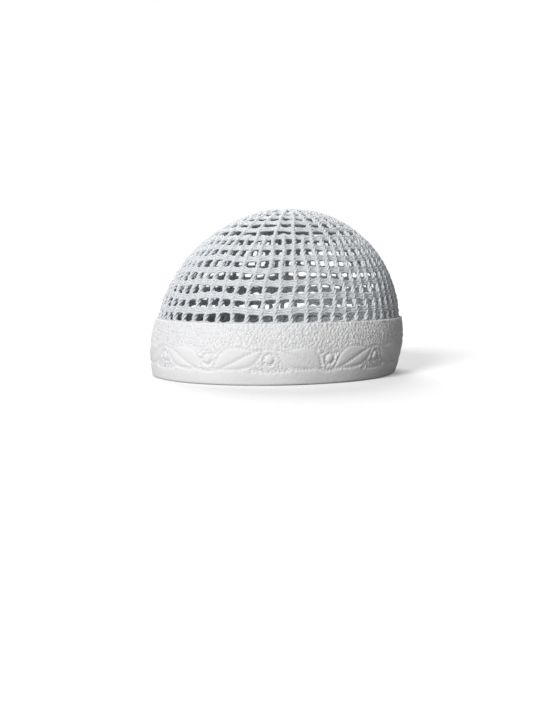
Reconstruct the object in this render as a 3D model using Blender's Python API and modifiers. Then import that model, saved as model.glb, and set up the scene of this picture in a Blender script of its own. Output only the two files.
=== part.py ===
"""Chechia: a netted skullcap with a quilted band.

The cap stands on its rim in metres, its front towards -Y and Z up. Both pieces follow one form,
an oval dome that leans backwards: the band wraps round its foot, and the crocheted crown goes
from a margin inside the band up to a closed round at the centre.
"""

from math import acos, asin, cos, hypot, pi, radians, sin, tan

import bmesh
import bpy

# The form, measured on the crown's outer face
BELLY_WIDTH = 0.1680
BELLY_LENGTH = 0.1915
BELLY_HEIGHT = 0.028
CAP_HEIGHT = 0.118
BACKWARD_LEAN = radians(9.5)

# Band: cotton folded double over thin wadding
BAND_HEIGHT = 0.040
BAND_WALL = 0.0030
FOLD_RADIUS = 0.0009
BAND_SEGMENTS = 72
FOLD_STEPS = 2

# Outer face of the band from above the fold to its top edge
BAND_PROFILE = (
    # (height share, wall share)
    (0.12, 0.95),
    (0.24, 0.95),
    (0.30, 0.88),
    (0.42, 1.00),
    (0.68, 1.00),
    (0.88, 0.97),
    (0.96, 0.85),
    (1.00, 0.60),
)

# Crown: one piece of open crochet
NET_WALL = 0.0028
TUCKED_MARGIN = 0.010
FIRST_RUNG = 0.0010
COLUMNS = 28
POST_WIDTH = 0.0060
WIDEST_POST_SHARE = 0.62
RUNG_HEIGHT = 0.0080
CENTRE_RADIUS = 0.016
CENTRE_RINGS = 2

# Rows of gaps, from the band up: those with every post, then those with every other one
FULL_ROWS = 3
HALVED_ROWS = 2
KEPT_EVERY = (1,) * FULL_ROWS + (2,) * HALVED_ROWS

# Room between the crown's margin and the inside of the band
CLEARANCE = 0.0003

# Colours
BAND_COTTON = (0.86, 0.86, 0.87)
NET_COTTON = (0.84, 0.86, 0.88)
COTTON_ROUGHNESS = 0.9

DOME_RISE = CAP_HEIGHT - BELLY_HEIGHT
MEAN_RADIUS = (BELLY_WIDTH + BELLY_LENGTH) / 4


def new_collection(name):
    collection = bpy.data.collections.new(name)
    bpy.context.scene.collection.children.link(collection)
    return collection


def cotton(name, colour):
    material = bpy.data.materials.new(name)
    material.use_nodes = True
    shader = material.node_tree.nodes["Principled BSDF"]
    shader.inputs["Base Color"].default_value = (*colour, 1.0)
    shader.inputs["Roughness"].default_value = COTTON_ROUGHNESS
    shader.inputs["Metallic"].default_value = 0.0
    return material


def slope_at(height):
    """Angle of a level on the dome: 0 at the belly, a quarter turn at the top."""
    return asin(max(-1.0, min(1.0, (height - BELLY_HEIGHT) / DOME_RISE)))


def height_at(slope):
    return BELLY_HEIGHT + DOME_RISE * sin(slope)


def form_point(turn, height, outwards=0.0):
    """Point of the form at an angle round it, counted from the front, grown by a wall."""
    spread = cos(slope_at(height))
    across = (BELLY_WIDTH / 2 * spread + outwards) * sin(turn)
    along = -(BELLY_LENGTH / 2 * spread + outwards) * cos(turn)
    return across, along + (height - BELLY_HEIGHT) * tan(BACKWARD_LEAN), height


def travel(turn, height):
    """Length along a level for each radian of turn."""
    spread = cos(slope_at(height))
    return spread * hypot(BELLY_WIDTH / 2 * cos(turn), BELLY_LENGTH / 2 * sin(turn))


def even_turns(count):
    """Angles that part a level's oval in equal lengths, starting at the front."""
    fine_steps = 1440
    step = 2 * pi / fine_steps
    lengths = [0.0]
    for number in range(fine_steps):
        lengths.append(lengths[-1] + travel((number + 0.5) * step, BELLY_HEIGHT) * step)
    turns = []
    reached = 0
    for number in range(count):
        wanted = lengths[-1] * number / count
        while lengths[reached + 1] <= wanted:
            reached += 1
        part = (wanted - lengths[reached]) / (lengths[reached + 1] - lengths[reached])
        turns.append((reached + part) * step)
    return turns


def add_object(name, mesh_builder, material, collection):
    mesh = bpy.data.meshes.new(name)
    mesh_builder.normal_update()
    mesh_builder.to_mesh(mesh)
    mesh_builder.free()
    mesh.shade_smooth()
    mesh.set_sharp_from_angle(angle=radians(40))
    mesh.materials.append(material)
    piece = bpy.data.objects.new(name, mesh)
    collection.objects.link(piece)
    return piece


def bridge(builder, lower, upper, skipped=()):
    """Join two rings of as many points with one face for each step round."""
    count = len(lower)
    for number in range(count):
        if number in skipped:
            continue
        after = (number + 1) % count
        builder.faces.new((lower[number], lower[after], upper[after], upper[number]))


def band_outline():
    """Closed outline of the folded band as (outwards, height), anticlockwise from the floor."""
    inner = CLEARANCE
    outer = CLEARANCE + BAND_WALL
    hem = CLEARANCE + BAND_WALL * BAND_PROFILE[0][1]
    outline = []
    for step in range(FOLD_STEPS + 1):
        bend = pi / 2 * step / FOLD_STEPS
        reach = FOLD_RADIUS * (1 - sin(bend))
        outline.append((hem - reach, FOLD_RADIUS * (1 - cos(bend))))
    for height_share, wall_share in BAND_PROFILE:
        outline.append((inner + (outer - inner) * wall_share, BAND_HEIGHT * height_share))
    for height_share, _ in reversed(BAND_PROFILE):
        outline.append((inner, BAND_HEIGHT * height_share))
    for step in range(FOLD_STEPS + 1):
        bend = pi / 2 * (1 - step / FOLD_STEPS)
        reach = FOLD_RADIUS * (1 - sin(bend))
        outline.append((inner + reach, FOLD_RADIUS * (1 - cos(bend))))
    return outline


def make_band(collection):
    """Ring of quilted cotton, thickest in its quilted field, flat where it rests."""
    builder = bmesh.new()
    turns = even_turns(BAND_SEGMENTS)
    rings = []
    for outwards, height in band_outline():
        rings.append([builder.verts.new(form_point(turn, height, outwards)) for turn in turns])
    for number, ring in enumerate(rings):
        bridge(builder, ring, rings[(number + 1) % len(rings)])
    return add_object("band", builder, cotton("quilted_cotton", BAND_COTTON), collection)


def post_edges(kept_every, height):
    """Angles of both edges of each post; posts that are left out share the gap evenly."""
    centres = even_turns(COLUMNS)
    centres.append(centres[0] + 2 * pi)
    kept = list(range(0, COLUMNS, kept_every)) + [COLUMNS]
    half_widths = {}
    for number, post in enumerate(kept):
        neighbour = kept[number + 1] if number + 1 < len(kept) else kept[1]
        start = post if number + 1 < len(kept) else 0
        pitch = centres[neighbour] - centres[start]
        half_width = POST_WIDTH / 2 / travel(centres[post], height)
        half_widths[post] = min(half_width, pitch * WIDEST_POST_SHARE / 2)
    edges = []
    for post, after in zip(kept, kept[1:]):
        right = centres[post] + half_widths[post]
        next_left = centres[after] - half_widths[after]
        edges.append(centres[post] - half_widths[post])
        edges.append(right)
        parts = 2 * (after - post) - 1
        for part in range(1, parts):
            edges.append(right + (next_left - right) * part / parts)
    return edges


def gap_faces(kept_every):
    """Faces of one row that are open: every gap, and every post that is left out."""
    open_faces = {2 * column + 1 for column in range(COLUMNS)}
    for post in range(COLUMNS):
        if post % kept_every:
            open_faces.add(2 * post)
    return open_faces


def make_crown(collection):
    """Dome of crochet, open between its posts and rungs and closed round the centre."""
    builder = bmesh.new()
    first_slope = slope_at(BAND_HEIGHT) + FIRST_RUNG / MEAN_RADIUS
    last_slope = acos(CENTRE_RADIUS / MEAN_RADIUS)
    rung = RUNG_HEIGHT / MEAN_RADIUS
    gap = (last_slope - first_slope - rung * (len(KEPT_EVERY) - 1)) / len(KEPT_EVERY)

    def ring(height, kept_every):
        turns = post_edges(kept_every, height)
        return [builder.verts.new(form_point(turn, height)) for turn in turns]

    below = ring(BAND_HEIGHT - TUCKED_MARGIN, KEPT_EVERY[0])
    edge = ring(BAND_HEIGHT, KEPT_EVERY[0])
    bridge(builder, below, edge)
    below = edge
    for number, kept_every in enumerate(KEPT_EVERY):
        bottom = first_slope + number * (gap + rung)
        open_faces = gap_faces(kept_every)
        levels = [ring(height_at(bottom + gap * share), kept_every) for share in (0.0, 0.5, 1.0)]
        bridge(builder, below, levels[0])
        bridge(builder, levels[0], levels[1], open_faces)
        bridge(builder, levels[1], levels[2], open_faces)
        below = levels[2]
    for number in range(1, CENTRE_RINGS + 1):
        share = number / (CENTRE_RINGS + 1)
        slope = last_slope + (pi / 2 - last_slope) * share
        above = ring(height_at(slope), KEPT_EVERY[-1])
        bridge(builder, below, above)
        below = above
    top = builder.verts.new(form_point(0.0, CAP_HEIGHT))
    for number, vertex in enumerate(below):
        builder.faces.new((vertex, below[(number + 1) % len(below)], top))
    loose = [vertex for vertex in builder.verts if not vertex.link_faces]
    bmesh.ops.delete(builder, geom=loose, context="VERTS")

    crown = add_object("crown_net", builder, cotton("crochet_cotton", NET_COTTON), collection)
    wall = crown.modifiers.new("wall", "SOLIDIFY")
    wall.thickness = NET_WALL
    wall.offset = -1.0
    wall.use_even_offset = True
    return crown


def main():
    for item in list(bpy.data.objects):
        bpy.data.objects.remove(item, do_unlink=True)
    collection = new_collection("chechia")
    make_band(collection)
    make_crown(collection)


main()
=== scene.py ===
# %% [markdown]
# # Dressing a netted skullcap
#
# The cap is two things sewn together: a band of white cotton, folded double over thin wadding
# and quilted with a running vine, and a crown of open crochet that rises from inside the band.
# The solids in the frame give the form and the sizes. These cells give each piece its real
# surface, and every cell says first what it makes and why it is made that way.

from math import cos, pi, radians, sin, sqrt, tan

import bpy
import numpy as np
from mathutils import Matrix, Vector, noise
from mathutils.kdtree import KDTree


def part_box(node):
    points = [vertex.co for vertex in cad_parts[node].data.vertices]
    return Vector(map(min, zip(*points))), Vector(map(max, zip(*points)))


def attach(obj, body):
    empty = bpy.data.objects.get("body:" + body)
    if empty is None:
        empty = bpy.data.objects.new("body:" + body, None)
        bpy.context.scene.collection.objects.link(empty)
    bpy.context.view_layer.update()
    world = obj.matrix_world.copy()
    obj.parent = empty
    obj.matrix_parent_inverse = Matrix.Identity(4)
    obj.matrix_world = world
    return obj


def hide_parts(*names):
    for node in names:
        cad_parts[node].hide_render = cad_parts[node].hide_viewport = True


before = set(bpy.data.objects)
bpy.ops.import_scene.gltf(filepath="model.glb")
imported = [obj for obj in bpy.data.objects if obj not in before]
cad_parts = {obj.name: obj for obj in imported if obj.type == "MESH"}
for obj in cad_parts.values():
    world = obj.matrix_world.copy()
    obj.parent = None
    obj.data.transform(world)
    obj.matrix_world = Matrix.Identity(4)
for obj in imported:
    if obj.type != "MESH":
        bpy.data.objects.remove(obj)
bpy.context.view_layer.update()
band_low, band_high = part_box("band")
net_low, net_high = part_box("crown_net")

# %% [markdown]
# ## One form for both pieces
#
# Band and crown follow the same leaning oval dome. The solids' boxes give its size, so the
# scene keeps pace with the solids: only the belly's height, the lean and the wall are said
# again here. A point of the form is named by a turn, counted from the front, and a slope, which
# is nought at the belly and a quarter turn at the top. The function also gives the three
# directions that every stitch needs: sideways, upwards and outwards.

# %% The form
MM = 0.001
BELLY_HEIGHT = 28 * MM
BACKWARD_LEAN = radians(9.5)
CLEARANCE = 0.3 * MM
BAND_WALL = 3.0 * MM
BAND_HEIGHT = band_high[2]
CAP_HEIGHT = net_high[2]
DOME_RISE = CAP_HEIGHT - BELLY_HEIGHT
HALF_WIDTH = (net_high[0] - net_low[0]) / 2
HALF_LENGTH = sqrt(net_high[1] ** 2 - (DOME_RISE * tan(BACKWARD_LEAN)) ** 2)
MEAN_RADIUS = (HALF_WIDTH + HALF_LENGTH) / 2


def slope_at(height):
    return np.arcsin(np.clip((height - BELLY_HEIGHT) / DOME_RISE, -1, 1))


def unit(vectors):
    return vectors / np.linalg.norm(vectors, axis=-1, keepdims=True)


def form(turn, slope, outwards=0.0):
    """Points of the dome and its sideways, upwards and outwards directions."""
    turn, slope = np.broadcast_arrays(turn, slope)
    level = np.zeros_like(turn)
    point = np.stack([
        HALF_WIDTH * np.cos(slope) * np.sin(turn),
        -HALF_LENGTH * np.cos(slope) * np.cos(turn)
        + DOME_RISE * np.sin(slope) * tan(BACKWARD_LEAN),
        BELLY_HEIGHT + DOME_RISE * np.sin(slope),
    ], axis=-1)
    sideways = unit(np.stack([HALF_WIDTH * np.cos(turn), HALF_LENGTH * np.sin(turn), level], -1))
    upwards = np.stack([
        -HALF_WIDTH * np.sin(slope) * np.sin(turn),
        HALF_LENGTH * np.sin(slope) * np.cos(turn)
        + DOME_RISE * np.cos(slope) * tan(BACKWARD_LEAN),
        DOME_RISE * np.cos(slope),
    ], axis=-1)
    out = unit(np.cross(sideways, upwards))
    upwards = np.cross(out, sideways)
    return point + out * np.asarray(outwards)[..., None], sideways, upwards, out


def even_turns(places):
    """Turns at the given shares of the way round, measured along the cap's edge."""
    fine = np.linspace(0, 2 * pi, 2881)
    speed = np.hypot(HALF_WIDTH * np.cos(fine), HALF_LENGTH * np.sin(fine))
    length = np.concatenate([[0], np.cumsum((speed[1:] + speed[:-1]) / 2 * np.diff(fine))])
    places = np.asarray(places, float)
    return 2 * pi * np.floor(places) + np.interp((places % 1) * length[-1], length, fine)


round_points = form(np.linspace(0, 2 * pi, 721), slope_at(BAND_HEIGHT / 2))[0]
CIRCUMFERENCE = float(np.linalg.norm(np.diff(round_points, axis=0), axis=1).sum())
print(f"half width {HALF_WIDTH:.4f}, half length {HALF_LENGTH:.4f}, round {CIRCUMFERENCE:.3f} m")

# %% [markdown]
# ## Camera, light and floor
#
# The photo looks at the cap from its front left, a little from below. The cap here stands on a
# floor, so the camera keeps the same side, distance and lens, and comes as low as a floor allows.
# A wide soft sun from the upper left gives the pale left side and the grey right side, a weaker
# one from behind shows the back, and an even sky fills the shadows. The sky is white where it is
# seen and weaker where it lights, which is how a cut-out background looks.

# %% Camera
PHOTO_WIDTH = 533
PHOTO_HEIGHT = 711
FOCAL_PIXELS = 1150
SENSOR_MM = 36.0
CAP_CENTRE_X = 278.5
CAP_CENTRE_Y = 290.0
CAMERA_TURN = radians(32)
CAMERA_RISE = radians(1.5)
CAMERA_DISTANCE = 0.83
LOOKED_AT = Vector((0.0, 0.0, CAP_HEIGHT / 2))

scene = bpy.context.scene
lens = bpy.data.cameras.new("camera")
camera = bpy.data.objects.new("camera", lens)
scene.collection.objects.link(camera)
scene.camera = camera
lens.sensor_width = SENSOR_MM
lens.lens = FOCAL_PIXELS / PHOTO_HEIGHT * SENSOR_MM
lens.shift_x = (PHOTO_WIDTH / 2 - CAP_CENTRE_X) / PHOTO_HEIGHT
lens.shift_y = (CAP_CENTRE_Y - PHOTO_HEIGHT / 2) / PHOTO_HEIGHT
away = Vector((
    sin(CAMERA_TURN) * cos(CAMERA_RISE),
    -cos(CAMERA_TURN) * cos(CAMERA_RISE),
    sin(CAMERA_RISE),
))
camera.location = LOOKED_AT + away * CAMERA_DISTANCE
camera.rotation_euler = away.to_track_quat("Z", "Y").to_euler()
print("camera at", tuple(round(value, 3) for value in camera.location))

# %% Floor and light
FLOOR_RADIUS = 6.0
FLOOR_WHITE = (0.95, 0.95, 0.95, 1.0)
FLOOR_BOUNCE = (0.28, 0.28, 0.28, 1.0)
FLOOR_GLOW = 0.20
SKY_SEEN = 1.0
SKY_LIGHT = 0.19

# Suns, both soft: the key gives the photo's shading, the other lights only the back
SUNS = (
    # (name, strength, softness, turn, rise)
    ("key", 2.75, radians(22), CAMERA_TURN - radians(31), radians(27)),
    ("back", 1.9, radians(36), CAMERA_TURN + radians(190), radians(34)),
)


def plain_floor():
    """White paper to the eye, but with little light thrown back up, as over a black flag."""
    material = bpy.data.materials.new("floor_white")
    material.use_nodes = True
    nodes, links = material.node_tree.nodes, material.node_tree.links
    paper = nodes["Principled BSDF"]
    paper.inputs["Base Color"].default_value = FLOOR_WHITE
    paper.inputs["Roughness"].default_value = 0.9
    paper.inputs["Specular IOR Level"].default_value = 0.1
    paper.inputs["Emission Color"].default_value = (1.0, 1.0, 1.0, 1.0)
    paper.inputs["Emission Strength"].default_value = FLOOR_GLOW
    dim = nodes.new("ShaderNodeBsdfDiffuse")
    dim.inputs["Color"].default_value = FLOOR_BOUNCE
    path = nodes.new("ShaderNodeLightPath")
    choice = nodes.new("ShaderNodeMixShader")
    links.new(path.outputs["Is Camera Ray"], choice.inputs[0])
    links.new(dim.outputs["BSDF"], choice.inputs[1])
    links.new(paper.outputs["BSDF"], choice.inputs[2])
    links.new(choice.outputs["Shader"], nodes["Material Output"].inputs["Surface"])
    bpy.ops.mesh.primitive_circle_add(vertices=96, radius=FLOOR_RADIUS, fill_type="NGON")
    floor = bpy.context.object
    floor.name = "floor"
    floor.data.materials.append(material)


def soft_sky():
    world = bpy.data.worlds.new("studio")
    scene.world = world
    world.use_nodes = True
    nodes, links = world.node_tree.nodes, world.node_tree.links
    background = nodes["Background"]
    background.inputs["Color"].default_value = (1.0, 1.0, 1.0, 1.0)
    path = nodes.new("ShaderNodeLightPath")
    strength = nodes.new("ShaderNodeMapRange")
    strength.inputs["To Min"].default_value = SKY_LIGHT
    strength.inputs["To Max"].default_value = SKY_SEEN
    links.new(path.outputs["Is Camera Ray"], strength.inputs["Value"])
    links.new(strength.outputs["Result"], background.inputs["Strength"])


def soft_sun(name, strength, softness, turn, rise):
    light = bpy.data.lights.new(name, "SUN")
    light.energy = strength
    light.angle = softness
    sun = bpy.data.objects.new(name, light)
    scene.collection.objects.link(sun)
    towards = Vector((sin(turn) * cos(rise), -cos(turn) * cos(rise), sin(rise)))
    sun.rotation_euler = towards.to_track_quat("Z", "Y").to_euler()


plain_floor()
soft_sky()
for sun in SUNS:
    soft_sun(*sun)
scene.view_settings.view_transform = "Standard"
print("floor and sky made, suns:", [sun[0] for sun in SUNS])

# %% [markdown]
# ## Finishes
#
# Both pieces are white cotton, but not the same white. The band is a close plain weave with a
# faint sheen, whose threads run along and across the strip, so its bump follows the strip's own
# UV map. The yarn is softer and cooler, and lets some light through. Its bump is a fine grain in
# object space and its twist is real geometry. Its grooves get a painted shade, darker and cooler
# than its ridges, on a mask that the sweep marks in an attribute.

# %% Material helpers
THREAD_PITCH = 0.34 * MM
WAVE_PERIOD = pi / 10


def add(tree, kind, sockets=None, **settings):
    """One node, its settings set and its inputs linked or filled."""
    node = tree.nodes.new(kind)
    for key, value in settings.items():
        setattr(node, key, value)
    for key, value in (sockets or {}).items():
        if isinstance(value, bpy.types.NodeSocket):
            tree.links.new(value, node.inputs[key])
        else:
            node.inputs[key].default_value = value
    return node


def cotton(name, dark, pale, mottle_scale, sheen, roughness):
    """White cotton whose tone drifts softly over the piece; returns its tree and shader too."""
    material = bpy.data.materials.new(name)
    material.use_nodes = True
    tree = material.node_tree
    shader = tree.nodes["Principled BSDF"]
    place = add(tree, "ShaderNodeTexCoord")
    mottle = add(tree, "ShaderNodeTexNoise", {
        "Vector": place.outputs["Object"], "Scale": mottle_scale, "Detail": 4.0,
    })
    tone = add(tree, "ShaderNodeMix", {
        "Factor": mottle.outputs["Fac"], "A": (*dark, 1.0), "B": (*pale, 1.0),
    }, data_type="RGBA")
    tree.links.new(tone.outputs["Result"], shader.inputs["Base Color"])
    shader.inputs["Roughness"].default_value = roughness
    shader.inputs["Specular IOR Level"].default_value = 0.25
    shader.inputs["Sheen Weight"].default_value = sheen
    shader.inputs["Sheen Roughness"].default_value = 0.45
    return material, tree, shader, place


print("helpers ready")

# %% The two finishes
# Painted shade: the yarn's grooves between its plied strands are darkened and cooled to this colour.
PAINTED_GROOVE_SHADE = (0.60, 0.64, 0.68)
YARN_GLOW = 0.3


def band_finish():
    """Close plain weave: threads along and across, read from the strip's own map."""
    material, tree, shader, place = cotton(
        "quilted_cotton", (0.83, 0.83, 0.84), (0.90, 0.90, 0.91), 38.0, 0.12, 0.88)
    lay = add(tree, "ShaderNodeUVMap", uv_map="cloth")
    threads = []
    for direction in ("X", "Y"):
        threads.append(add(tree, "ShaderNodeTexWave", {
            "Vector": lay.outputs["UV"], "Scale": WAVE_PERIOD / THREAD_PITCH,
            "Distortion": 0.7, "Detail": 1.0,
        }, bands_direction=direction))
    weave = add(tree, "ShaderNodeMath", {
        0: threads[0].outputs["Fac"], 1: threads[1].outputs["Fac"],
    }, operation="MAXIMUM")
    slubs = add(tree, "ShaderNodeTexNoise", {
        "Vector": place.outputs["Object"], "Scale": 900.0, "Detail": 3.0,
    })
    height = add(tree, "ShaderNodeMath", {
        0: weave.outputs["Value"], 1: slubs.outputs["Fac"],
    }, operation="ADD")
    bump = add(tree, "ShaderNodeBump", {
        "Strength": 0.5, "Distance": 0.05 * MM, "Height": height.outputs["Value"],
    })
    puckers = add(tree, "ShaderNodeTexNoise", {
        "Vector": place.outputs["Object"], "Scale": 420.0, "Detail": 2.0, "Distortion": 0.6,
    })
    ground = add(tree, "ShaderNodeAttribute", attribute_name="ground")
    strength = add(tree, "ShaderNodeMapRange", {
        "Value": ground.outputs["Fac"], "To Min": 0.12, "To Max": 0.8,
    })
    puckered = add(tree, "ShaderNodeBump", {
        "Strength": strength.outputs["Result"], "Distance": 0.9 * MM,
        "Height": puckers.outputs["Fac"], "Normal": bump.outputs["Normal"],
    })
    tree.links.new(puckered.outputs["Normal"], shader.inputs["Normal"])
    return material


def yarn_finish():
    """Soft mercerised yarn: fine fibres, and a cooler, darker painted shade in its hollows."""
    material, tree, shader, place = cotton(
        "crochet_cotton", (0.85, 0.87, 0.89), (0.95, 0.96, 0.97), 260.0, 0.2, 0.5)
    # Painted shade: where the section's outer points lie the yarn keeps its mottled white, and towards
    # its grooves it is mixed to the darker, cooler shade.
    ridge = add(tree, "ShaderNodeAttribute", attribute_name="ridge")
    mottled = shader.inputs["Base Color"].links[0].from_socket
    shaded_in_grooves = add(tree, "ShaderNodeMix", {
        "Factor": ridge.outputs["Fac"], "A": (*PAINTED_GROOVE_SHADE, 1.0), "B": mottled,
    }, data_type="RGBA")
    tree.links.new(shaded_in_grooves.outputs["Result"], shader.inputs["Base Color"])
    shader.inputs["Subsurface Weight"].default_value = YARN_GLOW
    shader.inputs["Subsurface Radius"].default_value = (1.0, 1.0, 1.0)
    shader.inputs["Subsurface Scale"].default_value = 2.0 * MM
    fibres = add(tree, "ShaderNodeTexNoise", {
        "Vector": place.outputs["Object"], "Scale": 1700.0, "Detail": 5.0, "Roughness": 0.65,
    })
    bump = add(tree, "ShaderNodeBump", {
        "Strength": 0.6, "Distance": 0.12 * MM, "Height": fibres.outputs["Fac"],
    })
    tree.links.new(bump.outputs["Normal"], shader.inputs["Normal"])
    return material


def thread_finish():
    """Sewing thread, smoother and a little brighter than the cloth."""
    material, tree, shader, place = cotton(
        "sewing_thread", (0.82, 0.82, 0.83), (0.90, 0.90, 0.91), 500.0, 0.2, 0.55)
    twist = add(tree, "ShaderNodeTexNoise", {
        "Vector": place.outputs["Object"], "Scale": 2600.0, "Detail": 2.0,
    })
    bump = add(tree, "ShaderNodeBump", {
        "Strength": 0.4, "Distance": 0.05 * MM, "Height": twist.outputs["Fac"],
    })
    tree.links.new(bump.outputs["Normal"], shader.inputs["Normal"])
    return material


band_cotton = band_finish()
crochet_cotton = yarn_finish()
sewing_thread = thread_finish()
print("finishes:", band_cotton.name, crochet_cotton.name, sewing_thread.name)

# %% [markdown]
# ## The vine's sewn lines
#
# The quilting repeats seven times round the band. In one repeat a stem waves up and down, passes
# over one berry and under the next, and two leaves lie in each of its bends. All the ground
# between is filled with a wandering line. The same lines serve twice: the cloth sinks towards
# them, and the stitches lie on them, so both are written once, as points along and up the strip.

# %% Stem, berries and leaves
VINE_REPEATS = 7
VINE_LENGTH = 84 * MM
VINE_START = 55.2 * MM
STEM_LEVEL = 16.4 * MM
STEM_SWING = 7.2 * MM
BERRY_LEVEL = 16.8 * MM
BERRY_RADIUS = 3.5 * MM
LEAF_START = 4.4 * MM
LEAF_LENGTH = 28.5 * MM
LEAF_SHOULDER = 0.20

# Where the berries sit in one repeat, on which side of the stem their leaves grow, how wide
BERRIES = (
    # (along the strip, side, swell)
    (21 * MM, -1, 15 * MM),
    (63 * MM, 1, 20.5 * MM),
)


def stem_level(along):
    return STEM_LEVEL + STEM_SWING * np.cos(2 * pi * (along - VINE_LENGTH / 4) / VINE_LENGTH)


def leaf_edge(reach, swell):
    """How far a leaf's edge stands from the stem, at a reach from its berry."""
    share = np.clip((reach - LEAF_START) / LEAF_LENGTH, 0, 1)
    return swell * (1 - share) * (1 - np.exp(-share / LEAF_SHOULDER))


def berry_rings():
    angle = np.linspace(0, 2 * pi, 65)
    circle = BERRY_RADIUS * np.stack([np.cos(angle), np.sin(angle)], axis=1)
    return [circle + (berry, BERRY_LEVEL) for berry, _, _ in BERRIES]


def vine_lines():
    along = np.linspace(0, VINE_LENGTH, 241)
    lines = [np.stack([along, stem_level(along)], axis=1)]
    for berry, side, swell in BERRIES:
        for hand in (-1, 1):
            reach = LEAF_START + LEAF_LENGTH * np.linspace(0, 1, 121) ** 1.6
            spot = berry + hand * reach
            edge = stem_level(spot) + side * leaf_edge(reach, swell)
            lines.append(np.stack([spot, edge], axis=1))
    return lines


print("lines in the vine:", len(vine_lines()), "and berries:", len(berry_rings()))

# %% The wandering ground
GROUND_LOWEST = 10.2 * MM
GROUND_HIGHEST = 37.5 * MM
ROW_STEP = 2.7 * MM
WANDER_LENGTH = VINE_LENGTH / 20
WANDER_HEIGHT = 1.1 * MM
WANDER_LOOP = 1.0 * MM
LINE_ROOM = 1.2 * MM
SHORTEST_RUN = 12


def on_ground(along, up):
    """True where no leaf, berry or stem is within a line's room."""
    clear = np.abs(up - stem_level(along)) > LINE_ROOM
    for berry, side, swell in BERRIES:
        for shift in (-VINE_LENGTH, 0, VINE_LENGTH):
            reach = np.abs(along - berry - shift)
            rise = side * (up - stem_level(along))
            inside = (reach > LEAF_START) & (reach < LEAF_START + LEAF_LENGTH)
            clear &= ~(inside & (rise > 0) & (rise < leaf_edge(reach, swell) + LINE_ROOM))
            clear &= np.hypot(reach, up - BERRY_LEVEL) > BERRY_RADIUS + LINE_ROOM
    return clear


def ground_lines():
    lines = []
    travelled = np.linspace(0, VINE_LENGTH, 421)
    for row, level in enumerate(np.arange(GROUND_LOWEST, GROUND_HIGHEST, ROW_STEP)):
        angle = 2 * pi * travelled / WANDER_LENGTH + 2.4 * row
        drift = np.sin(2 * pi * 3 * travelled / VINE_LENGTH + 1.7 * row)
        along = travelled - WANDER_LOOP * np.sin(2 * angle + drift)
        up = level + WANDER_HEIGHT * np.sin(angle) + 0.5 * MM * drift
        clear = on_ground(along, up)
        breaks = np.flatnonzero(np.diff(clear.astype(int))) + 1
        for run in np.split(np.arange(len(along)), breaks):
            if clear[run[0]] and len(run) > SHORTEST_RUN:
                lines.append(np.stack([along[run], up[run]], axis=1))
    return lines


sewn_lines = berry_rings() + vine_lines() + ground_lines()
print("sewn lines in one repeat:", len(sewn_lines))

# %% Where the needle went
STITCH_STEP = 2.3 * MM


def needle_holes(line):
    """Points half way between the stitches of one line."""
    lengths = np.concatenate([[0], np.cumsum(np.linalg.norm(np.diff(line, axis=0), axis=1))])
    stitches = max(int(lengths[-1] / STITCH_STEP), 1)
    places = (np.arange(stitches) + 0.5) * lengths[-1] / stitches
    return np.stack([np.interp(places, lengths, line[:, axis]) for axis in (0, 1)], axis=1)


def finder(points):
    """Search tree over one repeat's points and both neighbours'."""
    tree = KDTree(3 * len(points))
    for shift in (-1, 0, 1):
        for number, (along, up) in enumerate(points):
            tree.insert((along + shift * VINE_LENGTH, up, 0.0), number)
    tree.balance()
    return tree


def distances(tree, along, up):
    spots = zip(along.ravel(), up.ravel())
    return np.array([tree.find((*spot, 0.0))[2] for spot in spots]).reshape(along.shape)


line_finder = finder(np.concatenate(sewn_lines))
ring_finder = finder(np.concatenate(berry_rings()))
hole_finder = finder(np.concatenate([needle_holes(line) for line in sewn_lines]))
print("needle holes found:", sum(len(needle_holes(line)) for line in sewn_lines))

# %% [markdown]
# ## The quilted band
#
# The band is a strip of cloth folded lengthwise, with wadding between, and its ends meet in a
# seam at the back. A subdivision surface would need the vine drawn in its cage, so the strip is a
# dense grid instead, wrapped round the form. Each point rises with its distance from the nearest
# sewn line, and sinks near each needle hole and in the ring round each berry. Crinkles roughen
# the ground between, and the wadding thins towards the top edge. The grid closes on itself all
# round and over both edges, so it is a solid as the real band is.

# %% Shape of the cloth
FOLD_RADIUS = 1.4 * MM
EDGE_RADIUS = 1.1 * MM
THIN_FROM = 22 * MM
THINNED_BY = 1.5 * MM
SUNK = 0.55 * MM
CREASE_RISE = 0.34 * MM
CREASE_REACH = 0.80 * MM
PILLOW_RISE = 0.12 * MM
PILLOW_REACH = 2.4 * MM
HOLE_DEPTH = 0.50 * MM
HOLE_REACH = 0.85 * MM
RING_DEPTH = 0.45 * MM
RING_REACH = 0.80 * MM
BERRY_RISE = 0.35 * MM
CRINKLE = 0.42 * MM
CRINKLE_SIZE = 1.8 * MM
SEAM_DEPTH = 0.6 * MM
COLUMNS_PER_REPEAT = 140
OUTER_ROWS = 64
INNER_ROWS = 10


def repeat_relief(heights):
    """Relief of one repeat and where its ground lies: rows by columns."""
    steps = np.arange(COLUMNS_PER_REPEAT) * VINE_LENGTH / COLUMNS_PER_REPEAT
    along, up = np.meshgrid(steps, heights)
    from_line = distances(line_finder, along, up)
    from_hole = distances(hole_finder, along, up)
    crease = CREASE_RISE * (1 - np.exp(-from_line / CREASE_REACH))
    pillow = PILLOW_RISE * (1 - np.exp(-(from_line / PILLOW_REACH) ** 2))
    hole = HOLE_DEPTH * np.exp(-(from_hole / HOLE_REACH) ** 2)
    ring = RING_DEPTH * np.exp(-(distances(ring_finder, along, up) / RING_REACH) ** 2)
    for berry, _, _ in BERRIES:
        inside = np.hypot(along - berry, up - BERRY_LEVEL) / BERRY_RADIUS
        ring = ring - BERRY_RISE * np.clip(1 - inside ** 2, 0, 1)
    ground = on_ground(along, up) & (up > GROUND_LOWEST - LINE_ROOM)
    return crease + pillow - hole - ring, ground.astype(float)


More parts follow.
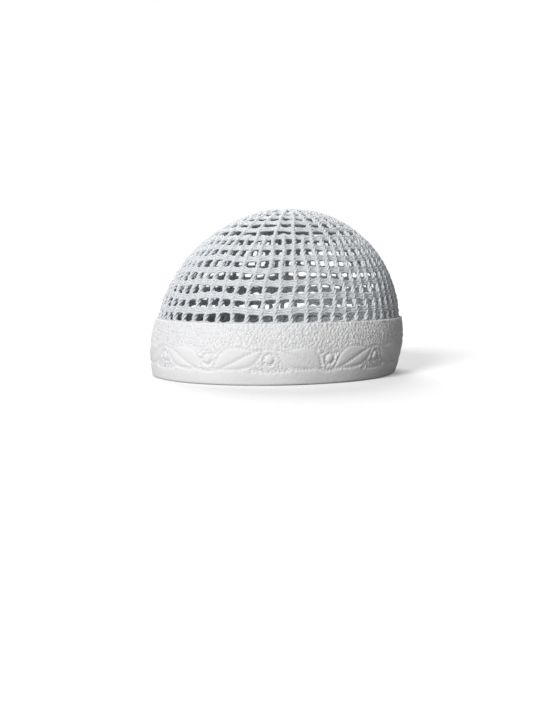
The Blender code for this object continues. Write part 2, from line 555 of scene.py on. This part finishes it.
def all_round(tile):
    """One repeat's grid, started where the vine starts and laid all round."""
    start = round(VINE_START / VINE_LENGTH * COLUMNS_PER_REPEAT)
    return np.tile(np.roll(tile, -start, axis=1), VINE_REPEATS)


def band_point(turn, height, outwards):
    """Point of the form at a height, moved level from it, as the band's solid is made."""
    spread = np.cos(slope_at(height))
    return np.stack([
        (HALF_WIDTH * spread + outwards) * np.sin(turn),
        -(HALF_LENGTH * spread + outwards) * np.cos(turn)
        + (height - BELLY_HEIGHT) * tan(BACKWARD_LEAN),
        height + 0 * turn,
    ], axis=-1)


def thinned(height):
    """Wall lost towards the top edge, where the band has no wadding and meets the net."""
    share = np.clip((height - THIN_FROM) / (BAND_HEIGHT - THIN_FROM), 0, 1)
    return THINNED_BY * share ** 2


def drape(place, height):
    """Slow waves that a worn band keeps, a few tenths of a millimetre."""
    wave = np.sin(2 * pi * 9 * place + 1.3) * 0.20 + np.sin(2 * pi * 14 * place + 4.1) * 0.12
    lift = np.sin(2 * pi * 5 * place + 90 * height) * 0.12
    return (wave + lift) * MM


def seam(place):
    """Groove where the strip's two ends meet at the back."""
    away = np.abs(place - 0.5) * CIRCUMFERENCE
    return -SEAM_DEPTH * np.exp(-(away / (0.8 * MM)) ** 2)


def crinkle(points):
    """Small irregular push, as sewn-down cotton has between its lines."""
    flat = (points / CRINKLE_SIZE).reshape(-1, 3).tolist()
    return CRINKLE * np.array([noise.noise(Vector(spot)) for spot in flat]).reshape(points.shape[:-1])


print(f"grooves {SUNK / MM:.2f} mm under the cloth, crinkles of {CRINKLE_SIZE / MM:.1f} mm")

# %% Wrap the strip
def band_rows(places, turns):
    """Rows of points round the section, and how much of each point is stippled ground."""
    inner = np.full_like(turns, CLEARANCE)
    bottom = CLEARANCE + BAND_WALL - SUNK + CREASE_RISE + PILLOW_RISE
    rows = []
    for bend in np.linspace(0, pi / 2, 5):
        reach = bottom - FOLD_RADIUS * (1 - sin(bend)) + drape(places, 0) * sin(bend)
        height = FOLD_RADIUS * (1 - cos(bend))
        rows.append(band_point(turns, np.full_like(turns, height), reach))
    heights = np.linspace(2.0 * MM, BAND_HEIGHT - EDGE_RADIUS, OUTER_ROWS)
    tile, tile_ground = repeat_relief(heights)
    rise, ground = all_round(tile), all_round(tile_ground)
    for row, height in enumerate(heights):
        level = np.full_like(turns, height)
        push = crinkle(band_point(turns, level, inner)) * (0.25 + 0.75 * ground[row])
        reach = CLEARANCE + BAND_WALL - SUNK - thinned(height) + rise[row] + push
        reach = reach + drape(places, height) + seam(places)
        rows.append(band_point(turns, level, reach))
    for bend in np.linspace(0, pi / 2, 4)[1:]:
        level = np.full_like(turns, BAND_HEIGHT - EDGE_RADIUS * (1 - sin(bend)))
        rows.append(band_point(turns, level, reach - EDGE_RADIUS * (1 - cos(bend))))
    for height in np.linspace(BAND_HEIGHT - 0.5 * MM, 1.0 * MM, INNER_ROWS):
        rows.append(band_point(turns, np.full_like(turns, height), inner))
    rows.append(band_point(turns, np.zeros_like(turns), inner + 0.6 * MM))
    stippled = np.zeros((len(rows), len(turns)))
    stippled[5:5 + OUTER_ROWS] = ground
    return np.array(rows), stippled


def closed_strip(name, rows, lengths):
    """Mesh of rows that close round the section and round the cap, with a cloth map."""
    count, columns = rows.shape[:2]
    lower = np.arange(count)[:, None] * columns + np.arange(columns)[None, :]
    after = np.roll(lower, -1, axis=1)
    above = np.roll(lower, -1, axis=0)
    faces = np.stack([lower, after, np.roll(above, -1, axis=1), above], axis=-1).reshape(-1, 4)
    mesh = bpy.data.meshes.new(name)
    mesh.from_pydata(rows.reshape(-1, 3).tolist(), [], faces.tolist())
    steps = np.linalg.norm(np.diff(rows[:, 0], axis=0), axis=1)
    across = np.concatenate([[0], np.cumsum(steps)])
    along = np.linspace(0, lengths, columns + 1)
    left, right = np.meshgrid(along[:-1], across, indexing="xy")
    next_left = np.broadcast_to(along[1:], left.shape)
    top = np.broadcast_to(np.append(across[1:], across[-1] + 1 * MM)[:, None], left.shape)
    corners = np.stack([
        np.stack([left, right], -1), np.stack([next_left, right], -1),
        np.stack([next_left, top], -1), np.stack([left, top], -1),
    ], axis=2)
    cloth = mesh.uv_layers.new(name="cloth")
    cloth.data.foreach_set("uv", corners.astype(np.float32).ravel())
    mesh.shade_smooth()
    piece = bpy.data.objects.new(name, mesh)
    scene.collection.objects.link(piece)
    return piece


band_places = np.arange(VINE_REPEATS * COLUMNS_PER_REPEAT) / (VINE_REPEATS * COLUMNS_PER_REPEAT)
band_turns = even_turns(band_places)
band_grid, stippled = band_rows(band_places, band_turns)
quilted_band = closed_strip("quilted_band", band_grid, CIRCUMFERENCE)
ground_layer = quilted_band.data.attributes.new("ground", "FLOAT", "POINT")
ground_layer.data.foreach_set("value", stippled.astype(np.float32).ravel())
quilted_band.data.materials.append(band_cotton)
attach(quilted_band, "root")
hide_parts("band")
print("band triangles:", 2 * len(quilted_band.data.polygons))

# %% [markdown]
# ## Trees that sweep and repeat
#
# Yarn and stitches follow paths, so the paths are written as loose edges that carry their own
# directions, and a geometry tree sweeps or repeats along them. Three helpers serve all of them:
# one starts a tree with named inputs, one ends it, and one runs it on a guide and keeps the
# result as a plain mesh.

# %% Tree helpers
def new_tree(name, inputs):
    tree = bpy.data.node_groups.new(name, "GeometryNodeTree")
    interface = tree.interface
    interface.new_socket("Geometry", in_out="INPUT", socket_type="NodeSocketGeometry")
    for label, kind in inputs:
        interface.new_socket(label, in_out="INPUT", socket_type="NodeSocket" + kind)
    interface.new_socket("Geometry", in_out="OUTPUT", socket_type="NodeSocketGeometry")
    return tree, add(tree, "NodeGroupInput").outputs


def close_tree(tree, geometry, material):
    real = add(tree, "GeometryNodeRealizeInstances", {"Geometry": geometry})
    dressed = add(tree, "GeometryNodeSetMaterial", {
        "Geometry": real.outputs["Geometry"], "Material": material,
    })
    add(tree, "NodeGroupOutput", {"Geometry": dressed.outputs["Geometry"]})


def carried(tree, name, kind="FLOAT_VECTOR"):
    """Value that the guide's points carry."""
    read = add(tree, "GeometryNodeInputNamedAttribute", {"Name": name}, data_type=kind)
    return read.outputs["Attribute"]


def math(tree, operation, first, second=0.0):
    return add(tree, "ShaderNodeMath", {0: first, 1: second}, operation=operation).outputs["Value"]


def guide_lines(name, lines, closed=False):
    """Loose edges through each line's points, with its other arrays as attributes."""
    edges = []
    start = 0
    for line in lines:
        numbers = np.arange(start, start + len(line["points"]))
        pairs = np.stack([numbers, np.roll(numbers, -1)], axis=1)
        edges.append(pairs if closed else pairs[:-1])
        start += len(numbers)
    mesh = bpy.data.meshes.new(name)
    points = np.concatenate([line["points"] for line in lines])
    mesh.from_pydata(points.tolist(), np.concatenate(edges).tolist(), [])
    for key in lines[0]:
        if key == "points":
            continue
        values = np.concatenate([line[key] for line in lines])
        vector = values.ndim == 2
        layer = mesh.attributes.new(key, "FLOAT_VECTOR" if vector else "FLOAT", "POINT")
        layer.data.foreach_set("vector" if vector else "value", values.astype(np.float32).ravel())
    guide = bpy.data.objects.new(name, mesh)
    scene.collection.objects.link(guide)
    return guide


def grow(name, guide, tree, values):
    """Run a tree on a guide, keep the result as a plain smooth mesh and drop the guide."""
    modifier = guide.modifiers.new(tree.name, "NODES")
    modifier.node_group = tree
    for item in tree.interface.items_tree:
        if item.in_out == "INPUT" and item.name in values:
            modifier[item.identifier] = values[item.name]
    depsgraph = bpy.context.evaluated_depsgraph_get()
    mesh = bpy.data.meshes.new_from_object(guide.evaluated_get(depsgraph), depsgraph=depsgraph)
    guide.modifiers.remove(modifier)
    bpy.data.objects.remove(guide)
    for attribute in [layer.name for layer in mesh.attributes if not layer.is_required]:
        if attribute in ("out", "across", "girth", "start"):
            mesh.attributes.remove(mesh.attributes[attribute])
    mesh.shade_smooth()
    piece = bpy.data.objects.new(name, mesh)
    scene.collection.objects.link(piece)
    mesh.calc_loop_triangles()
    print(name, "triangles:", len(mesh.loop_triangles))
    return piece


def finish_crochet(piece):
    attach(piece, "root")
    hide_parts("crown_net")


print("tree helpers ready")

# %% [markdown]
# ## The stitches of the vine
#
# Each stitch is a short bead of thread that lies along its line, pulled into the cloth. There
# are thousands, so one small bead is instanced along the sewn lines by a tree and turned to lie
# along the line with its back to the cloth.

# %% Stitches
STITCH_LENGTH = 1.8 * MM
STITCH_RADIUS = 0.18 * MM
STITCH_SUNK = 0.06 * MM


def tube(points, radii, sides):
    """Vertices and faces of a round tube with pointed ends, swept along a flat-lying path."""
    points = np.asarray(points, float)
    heading = unit(np.gradient(points, axis=0))
    side = unit(np.cross(np.array([0.0, 0.0, 1.0]), heading))
    over = np.cross(heading, side)
    angle = 2 * pi * np.arange(sides) / sides
    circle = np.cos(angle)[None, :, None] * side[:, None] + np.sin(angle)[None, :, None] * over[:, None]
    rings = points[:, None] + circle * np.asarray(radii)[:, None, None]
    vertices = rings.reshape(-1, 3).tolist()
    faces = []
    for ring in range(len(points) - 1):
        for number in range(sides):
            after = (number + 1) % sides
            low, high = ring * sides, (ring + 1) * sides
            faces.append((low + number, low + after, high + after, high + number))
    first, last = len(vertices), len(vertices) + 1
    vertices += [points[0].tolist(), points[-1].tolist()]
    end = (len(points) - 1) * sides
    for number in range(sides):
        after = (number + 1) % sides
        faces.append((first, after, number))
        faces.append((last, end + number, end + after))
    return vertices, faces


def prototype(name, tubes):
    """One mesh of several tubes, for a tree to repeat."""
    vertices, faces = [], []
    for tube_vertices, tube_faces in tubes:
        faces += [tuple(corner + len(vertices) for corner in face) for face in tube_faces]
        vertices += tube_vertices
    mesh = bpy.data.meshes.new(name)
    mesh.from_pydata(vertices, [], faces)
    pattern = bpy.data.objects.new(name, mesh)
    scene.collection.objects.link(pattern)
    return pattern


def stitch_tree():
    tree, given = new_tree("stitches_along_lines", [
        ("Stitch", "Object"), ("Step", "Float"), ("Material", "Material"),
    ])
    lines = add(tree, "GeometryNodeMeshToCurve", {"Mesh": given["Geometry"]})
    paced = add(tree, "GeometryNodeResampleCurve", {
        "Curve": lines.outputs["Curve"], "Length": given["Step"],
    }, mode="LENGTH")
    heading = add(tree, "GeometryNodeInputTangent")
    lie = add(tree, "FunctionNodeAxesToRotation", {
        "Primary Axis": heading.outputs["Tangent"], "Secondary Axis": carried(tree, "out"),
    }, primary_axis="X", secondary_axis="Z")
    bead = add(tree, "GeometryNodeObjectInfo", {"Object": given["Stitch"]})
    sewn = add(tree, "GeometryNodeInstanceOnPoints", {
        "Points": paced.outputs["Curve"], "Instance": bead.outputs["Geometry"],
        "Rotation": lie.outputs["Rotation"],
    })
    close_tree(tree, sewn.outputs["Instances"], given["Material"])
    return tree


def sewn_guide():
    """The sewn lines of every repeat, laid in their grooves."""
    groove = CLEARANCE + BAND_WALL - SUNK - STITCH_SUNK
    lines = []
    for repeat in range(VINE_REPEATS):
        for line in sewn_lines:
            length = (line[:, 0] + repeat * VINE_LENGTH - VINE_START) / (VINE_REPEATS * VINE_LENGTH)
            places = length % 1.0
            turns = even_turns(places)
            reach = groove - thinned(line[:, 1]) + drape(places, line[:, 1]) + seam(places)
            lines.append({
                "points": band_point(turns, line[:, 1], reach),
                "out": form(turns, slope_at(line[:, 1]))[3],
            })
    return guide_lines("sewn_guide", lines)


share = np.array([-0.5, -0.3, 0.3, 0.5])
bead_points = np.stack([share * STITCH_LENGTH, 0 * share, 0 * share], axis=1)
bead = prototype("stitch_bead", [tube(bead_points, np.array([0.5, 1, 1, 0.5]) * STITCH_RADIUS, 5)])
vine_stitches = grow("vine_stitches", sewn_guide(), stitch_tree(), {
    "Stitch": bead, "Step": STITCH_STEP, "Material": sewing_thread,
})
bpy.data.objects.remove(bead)
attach(vine_stitches, "root")
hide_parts("band")

# %% [markdown]
# ## The crown's yarn posts
#
# The crown is open crochet: upright posts and level rungs with square holes between. A post is
# a cord of three plied strands that swells in the middle of each row. The tree copies the post's
# path three times, winds each copy round it and sweeps a lobed section along it that turns with
# the twist, which reads as plied yarn at a small cost.

# %% Rows and columns of the net
ROWS = 12
FIRST_RING = 38.5 * MM
ROW_PITCH = radians(6.13)
FULL_COLUMNS = 56
COLUMNS_IN_ROW = [FULL_COLUMNS] * 7 + [FULL_COLUMNS // 2] * 4 + [FULL_COLUMNS // 4]
ROWS_BY_RANK = (ROWS, 7, 11, 7)
MARGIN_FOOT = 30.5 * MM
CORD_DEPTH = 1.65 * MM
POST_STRANDS = 3
STRAND_OFFSET = 0.88 * MM
STRAND_RADIUS = 1.00 * MM
STRAND_LOBE = 0.78
CORD_LAY = 11.0 * MM
CORD_STEP = 1.25 * MM
YARN_TWIST = radians(17) / MM
SWELL = 0.12
POST_DRIFT = 0.10 * MM
LOOSE_ROUND = radians(0.60)
LOOSE_UP = radians(0.34)
PLUMP = 0.45 * MM

ring_slopes = float(slope_at(FIRST_RING)) + ROW_PITCH * np.arange(ROWS + 1)
margin_slope = float(slope_at(MARGIN_FOOT))
seeded = np.random.default_rng(7)


def netted(turns, slopes, outwards):
    """Points of the form, drawn slightly off their even places as hand work is."""
    above = np.clip((slopes - ring_slopes[0]) / ROW_PITCH, 0, 1)
    drawn = above * LOOSE_ROUND * (np.sin(5 * turns + 9 * slopes) + np.sin(13 * turns - 17 * slopes))
    raised = above * LOOSE_UP * (np.sin(7 * turns + 4 * slopes) + np.sin(11 * turns + 23 * slopes))
    return form(turns + drawn, slopes + raised, outwards + above * PLUMP)


def post_line(turn, high_row):
    """One upright, from the margin to its highest ring, with its swell and a little drift."""
    slopes = np.linspace(margin_slope, ring_slopes[high_row], 4 * high_row + 5)
    row = (slopes - ring_slopes[0]) / ROW_PITCH
    girth = 1 + SWELL * np.sin(pi * row) ** 2 - SWELL / 2
    points, sideways, _, out = netted(
        np.full_like(slopes, turn), slopes, np.full_like(slopes, -CORD_DEPTH))
    drift = seeded.normal(0, POST_DRIFT, len(slopes))
    return {
        "points": points + sideways * drift[:, None], "out": out, "across": sideways,
        "girth": girth, "start": np.full_like(slopes, seeded.uniform(0, 2 * pi)),
    }


def post_lines():
    turns = even_turns(np.arange(FULL_COLUMNS) / FULL_COLUMNS)
    lines = []
    for column, turn in enumerate(turns):
        lines.append(post_line(turn, ROWS_BY_RANK[column % len(ROWS_BY_RANK)]))
    return lines


def whole_turns(tree, rate, travelled):
    """Angle that grows along a line at about a rate and comes out whole at its end."""
    total = add(tree, "GeometryNodeSplineLength").outputs["Length"]
    rounds = math(tree, "DIVIDE", math(tree, "MULTIPLY", total, rate), 2 * pi)
    whole = math(tree, "ROUND", rounds)
    share = math(tree, "DIVIDE", travelled, total)
    return math(tree, "MULTIPLY", math(tree, "MULTIPLY", whole, share), 2 * pi)


def moved_strand(tree, path, phase, offset):
    """The path pushed sideways and outwards by one strand's place in the cord."""
    outwards = add(tree, "ShaderNodeVectorMath", {
        0: carried(tree, "out"),
        "Scale": math(tree, "MULTIPLY", math(tree, "COSINE", phase), offset),
    }, operation="SCALE")
    sideways = add(tree, "ShaderNodeVectorMath", {
        0: carried(tree, "across"),
        "Scale": math(tree, "MULTIPLY", math(tree, "SINE", phase), offset),
    }, operation="SCALE")
    both = add(tree, "ShaderNodeVectorMath", {
        0: outwards.outputs["Vector"], 1: sideways.outputs["Vector"],
    }, operation="ADD")
    moved = add(tree, "GeometryNodeSetPosition", {
        "Geometry": path, "Offset": both.outputs["Vector"],
    })
    return moved.outputs["Geometry"]


def cord_tree(name, strands):
    """Winds strands round each guide line and sweeps a lobed, twisting section along them."""
    tree, given = new_tree(name, [
        ("Step", "Float"), ("Lay", "Float"), ("Offset", "Float"), ("Radius", "Float"),
        ("Lobe", "Float"), ("Twist", "Float"), ("Material", "Material"),
    ])
    lines = add(tree, "GeometryNodeMeshToCurve", {"Mesh": given["Geometry"]})
    paced = add(tree, "GeometryNodeResampleCurve", {
        "Curve": lines.outputs["Curve"], "Length": given["Step"],
    }, mode="LENGTH")
    travelled = add(tree, "GeometryNodeSplineParameter").outputs["Length"]
    girth = carried(tree, "girth", "FLOAT")
    turned = math(tree, "DIVIDE", math(tree, "MULTIPLY", travelled, 2 * pi), given["Lay"])
    turned = math(tree, "ADD", turned, carried(tree, "start", "FLOAT"))
    offset = math(tree, "MULTIPLY", given["Offset"], girth)
    wound = add(tree, "GeometryNodeJoinGeometry")
    for strand in range(strands):
        phase = math(tree, "ADD", turned, 2 * pi * strand / strands)
        moved = moved_strand(tree, paced.outputs["Curve"], phase, offset)
        tree.links.new(moved, wound.inputs["Geometry"])
    tilted = add(tree, "GeometryNodeSetCurveTilt", {
        "Curve": wound.outputs["Geometry"],
        "Tilt": whole_turns(tree, given["Twist"], travelled),
    })
    section = add(tree, "GeometryNodeCurveStar", {
        "Points": 3, "Inner Radius": math(tree, "MULTIPLY", given["Radius"], given["Lobe"]),
        "Outer Radius": given["Radius"],
    })
    # The section's outer points are stored, so the yarn finish can paint shade into the grooves between
    # them.
    marked = add(tree, "GeometryNodeStoreNamedAttribute", {
        "Geometry": section.outputs["Curve"], "Name": "ridge",
        "Value": section.outputs["Outer Points"],
    }, data_type="FLOAT", domain="POINT")
    swept = add(tree, "GeometryNodeCurveToMesh", {
        "Curve": tilted.outputs["Curve"], "Profile Curve": marked.outputs["Geometry"],
        "Scale": girth, "Fill Caps": True,
    })
    close_tree(tree, swept.outputs["Mesh"], given["Material"])
    return tree


cord_sizes = {
    "Step": CORD_STEP, "Lay": CORD_LAY, "Offset": STRAND_OFFSET, "Radius": STRAND_RADIUS,
    "Lobe": STRAND_LOBE, "Twist": YARN_TWIST, "Material": crochet_cotton,
}
plied_cord = cord_tree("plied_cord", POST_STRANDS)
crown_posts = grow("crown_posts", guide_lines("post_guide", post_lines()), plied_cord, cord_sizes)
finish_crochet(crown_posts)

# %% [markdown]
# ## The crown's rungs
#
# The rungs are chain stitches, and a chain runs on through every post to the end of its round.
# Bars laid between the posts would end bluntly there, so each ring is three strands that go all
# the way round: two outer ones that spread at the posts and pinch between them round a small eye,
# and a core that fills the spread. Each span looks like a bow, and the rings have no ends.

# %% Rings of rungs
POINTS_IN_SPAN = 8
RUNG_DEPTH = 1.75 * MM
WAIST = 1.20 * MM
FLARE = 0.95 * MM
EYE = 0.25 * MM
EYE_REACH = 0.09
NEAR_POST = 0.35 * MM
RUNG_STRAND = 1.12 * MM
CORE_GIRTH = 1.25
CORE_PINCH = 0.45
CORE_REACH = 0.16
EYE_THINNING = 0.12
RUNG_CHANGE = 0.09


def ring_strand(slope, columns, side):
    """One strand of a ring: above the middle, below it, or the core at side nought."""
    share = (np.arange(columns * POINTS_IN_SPAN) + 0.5) / POINTS_IN_SPAN
    from_middle = share % 1 - 0.5
    spread = np.sin(pi * from_middle) ** 2
    eye = np.exp(-(from_middle / EYE_REACH) ** 2)
    change = np.repeat(seeded.normal(1, RUNG_CHANGE, columns), POINTS_IN_SPAN)
    turns = even_turns(share / columns)
    points, _, upwards, out = netted(
        turns, np.full_like(turns, slope), NEAR_POST * spread - RUNG_DEPTH)
    rise = side * (WAIST + FLARE * spread * change + EYE * eye)
    girth = (1 - EYE_THINNING * eye) * change ** 0.5
    if side == 0:
        girth = CORE_GIRTH * (1 - CORE_PINCH * np.exp(-(from_middle / CORE_REACH) ** 2))
    return {
        "points": points + upwards * rise[:, None], "out": out, "across": upwards,
        "girth": girth, "start": np.zeros_like(turns),
    }


def ring_lines():
    lines = [ring_strand(margin_slope, FULL_COLUMNS, side) for side in (-1, 0, 1)]
    for ring, slope in enumerate(ring_slopes):
        columns = COLUMNS_IN_ROW[max(ring - 1, 0)]
        lines += [ring_strand(slope, columns, side) for side in (-1, 0, 1)]
    return lines


rung_sizes = cord_sizes | {"Offset": 0.0, "Radius": RUNG_STRAND}
crown_rungs = grow(
    "crown_rungs", guide_lines("rung_guide", ring_lines(), closed=True),
    cord_tree("single_strand", 1), rung_sizes)
finish_crochet(crown_rungs)

# %% [markdown]
# ## The crown's centre
#
# Crochet in the round starts from a small ring, and its first rounds are worked close. The cord
# spirals out from the middle until it meets the last ring of the net, so the same plied tree
# sweeps it.

# %% Centre rounds
SPIRAL_PITCH = 3.1 * MM
SPIRAL_RADIUS = 15.5 * MM
SPIRAL_GIRTH = 0.92


def spiral_line():
    """Path from the middle outwards, lying on the dome."""
    rounds = SPIRAL_RADIUS / SPIRAL_PITCH
    around = np.linspace(0.25, rounds, 240)
    radius = around * SPIRAL_PITCH
    slopes = np.arccos(radius / MEAN_RADIUS)
    turns = 2 * pi * around
    points, _, upwards, out = form(turns, slopes, np.full_like(turns, -CORD_DEPTH))
    return {
        "points": points, "out": out, "across": upwards,
        "girth": np.full_like(turns, SPIRAL_GIRTH), "start": np.zeros_like(turns),
    }


crown_centre = grow(
    "crown_centre", guide_lines("centre_guide", [spiral_line()]), plied_cord, cord_sizes)
finish_crochet(crown_centre)
